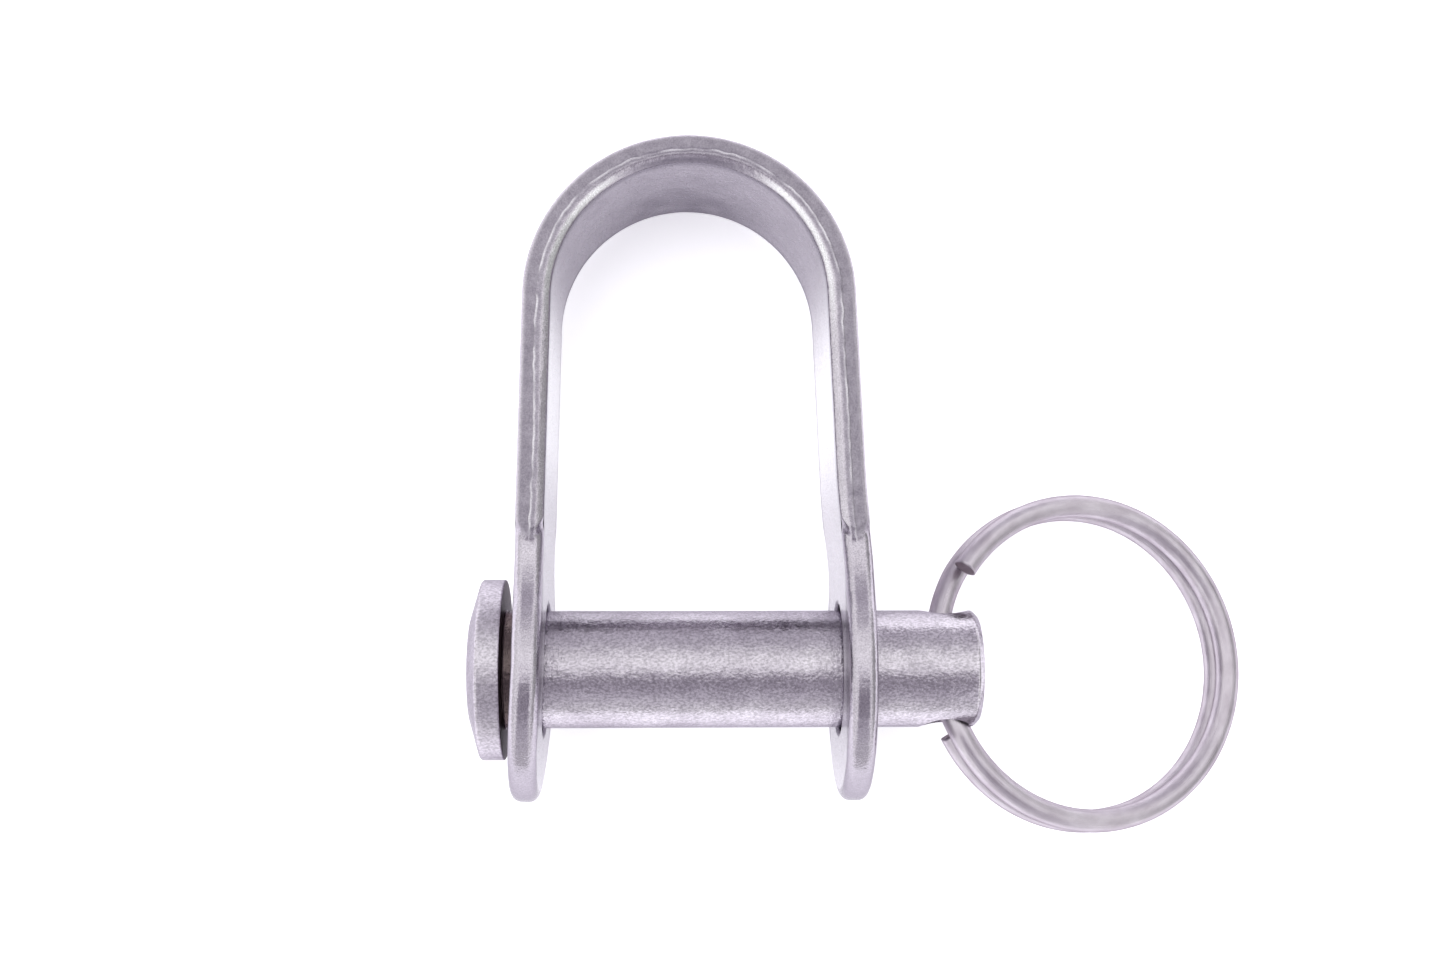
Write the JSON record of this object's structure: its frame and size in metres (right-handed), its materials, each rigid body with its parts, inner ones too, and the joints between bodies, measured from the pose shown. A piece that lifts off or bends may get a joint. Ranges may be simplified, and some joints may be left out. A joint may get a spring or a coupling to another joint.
{
  "type": "strip dee shackle",
  "caption": "Long dee shackle pressed from flat strip: a U-shaped bow with round ears, closed by a headed clevis pin that a split ring keeps in place.",
  "frame": {"origin": "on the pin axis, half way between the two ears, at the middle of the strip's width", "axes": "+X along the pin from its head to its ringed end, +Y from the pin to the crown, +Z across the strip's width"},
  "size_m": [0.034, 0.0294, 0.0112],
  "materials": {
    "bow_steel": "tumbled stainless strip, satin faces, sheared and burnished cut edges",
    "pin_steel": "turned stainless bar, fine pitting, satin",
    "ring_wire": "drawn stainless spring wire, smooth satin with fine draw lines"
  },
  "bodies": {
    "bow": {"bow": "bow_steel"},
    "pin": {"clevis_pin": "pin_steel"},
    "ring": {"split_ring": "ring_wire"}
  },
  "joints": [
    {"name": "pin_turn", "type": "hinge", "parent": "bow", "child": "pin", "pos_m": [0, 0, 0], "axis": [1, 0, 0], "continuous": true},
    {"name": "ring_swing", "type": "hinge", "parent": "pin", "child": "ring", "pos_m": [0.0108, 0, 0], "axis": [0, 0.9962, -0.0872], "range_deg": [-110, 80]}
  ]
}
